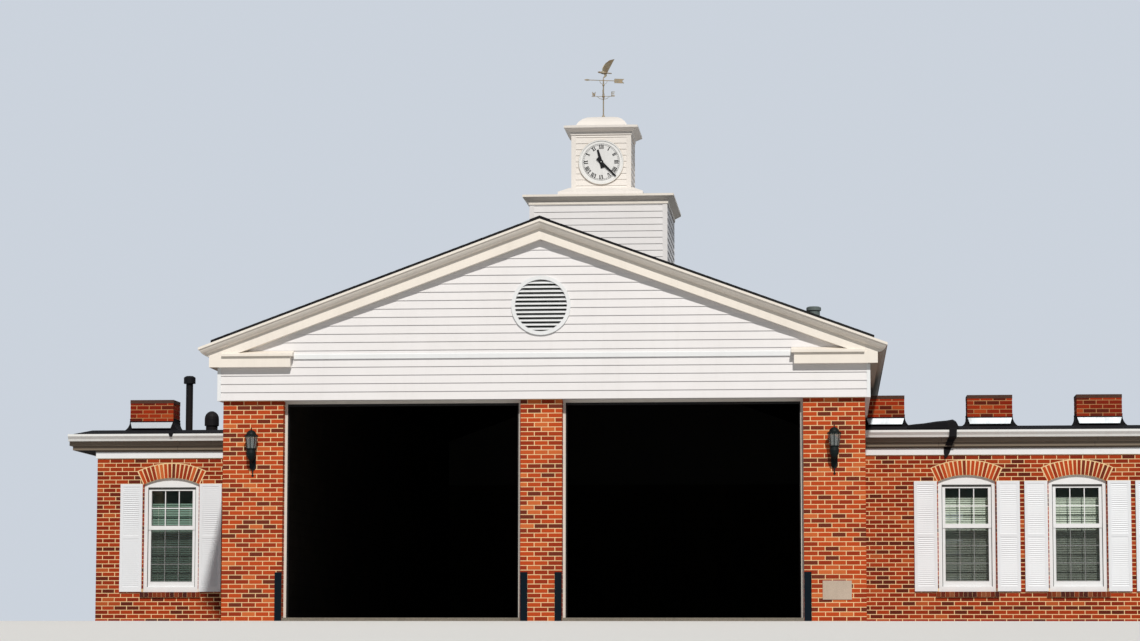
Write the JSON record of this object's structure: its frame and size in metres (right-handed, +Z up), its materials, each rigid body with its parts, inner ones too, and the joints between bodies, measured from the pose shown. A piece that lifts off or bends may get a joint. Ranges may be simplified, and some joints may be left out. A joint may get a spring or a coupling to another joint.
{
  "type": "fire station building",
  "caption": "Brick fire station with a gabled engine bay open through vehicle doorways, flat-roofed wings with shuttered windows, and a clock cupola with a weather vane.",
  "frame": {"origin": "on the ground in the middle of the engine bay's floor, below the weather vane's mast", "axes": "+X to the right as seen from the vehicle doors, +Y from the doors to the back, +Z up"},
  "size_m": [19.516, 25.06, 10.7076],
  "materials": {
    "brick": "red-orange face brick in running bond, tan mortar",
    "concrete": "trowelled grey concrete",
    "lap_siding": "white painted lap siding",
    "white_trim": "white painted trim",
    "cream_cornice": "cream-white painted cornice boards",
    "shingles": "black mineral-faced shingles",
    "roof_membrane": "black roof membrane",
    "window_pane": "clear glazing",
    "lantern_pane": "clear bevelled glass",
    "shutter_white": "white louvred shutters",
    "gutter_metal": "white coated aluminium",
    "flashing_metal": "weathered galvanised sheet",
    "lantern_iron": "dark green-black paint",
    "guard_paint": "blue-black paint, satin",
    "pale_stone": "smooth pale limestone",
    "black_flue": "black paint, satin",
    "grey_flue": "dull grey",
    "dial_face": "white enamelled dial",
    "hand_black": "black paint",
    "vane_metal": "weathered copper alloy"
  },
  "bodies": {
    "building": {"back_gable_wall": "lap_siding", "bay_back_wall": "brick", "bay_left_wall": "brick", "bay_right_wall": "brick", "belt_mouldings": "white_trim", "centre_pier": "brick", "chimney_caps": "concrete", "chimney_curbs": "roof_membrane", "chimney_flashings": "flashing_metal", "chimneys": "brick", "clock_dial": "dial_face", "clock_tower": "lap_siding", "corner_guards": "guard_paint", "cupola_base": "lap_siding", "cupola_cornice": "white_trim", "date_stone": "pale_stone", "door_frames": "white_trim", "eave_cornices": "cream_cornice", "floor_slab": "concrete", "flue_pipe": "black_flue", "front_gable_wall": "lap_siding", "gable_vents": "white_trim", "lantern_glass": "lantern_pane", "lanterns": "lantern_iron", "left_pier": "brick", "left_wing_back_wall": "brick", "left_wing_end_wall": "brick", "left_wing_front_wall": "brick", "left_wing_roof": "roof_membrane", "rake_cornices": "cream_cornice", "right_pier": "brick", "right_wing_back_wall": "brick", "right_wing_end_wall": "brick", "right_wing_front_wall": "brick", "right_wing_roof": "roof_membrane", "roof_flue": "grey_flue", "roof_left_slope": "shingles", "roof_right_slope": "shingles", "shutters": "shutter_white", "side_bands": "lap_siding", "tower_cornice": "white_trim", "tower_plinth": "white_trim", "tower_roof": "white_trim", "vane_mast": "vane_metal", "vent_hood": "black_flue", "window_arches": "brick", "window_frames": "white_trim", "window_glass": "window_pane", "window_sills": "brick", "wing_cornices": "white_trim", "wing_gutters": "gutter_metal"},
    "weather_vane": {"weather_vane": "vane_metal"},
    "minute_hand": {"minute_hand": "hand_black"},
    "hour_hand": {"hour_hand": "hand_black"}
  },
  "joints": [
    {"name": "vane_spin", "type": "hinge", "parent": "building", "child": "weather_vane", "pos_m": [0, 0, 10.22], "axis": [0, 0, 1], "continuous": true},
    {"name": "minute_hand_turn", "type": "hinge", "parent": "building", "child": "minute_hand", "pos_m": [0, -0.596, 8.64966], "axis": [0, 1, 0], "continuous": true},
    {"name": "hour_hand_turn", "type": "hinge", "parent": "building", "child": "hour_hand", "pos_m": [0, -0.584, 8.64966], "axis": [0, 1, 0], "continuous": true}
  ],
  "couplings": [
    {"joint": "hour_hand_turn", "follows": "minute_hand_turn", "ratio": 0.083333}
  ]
}
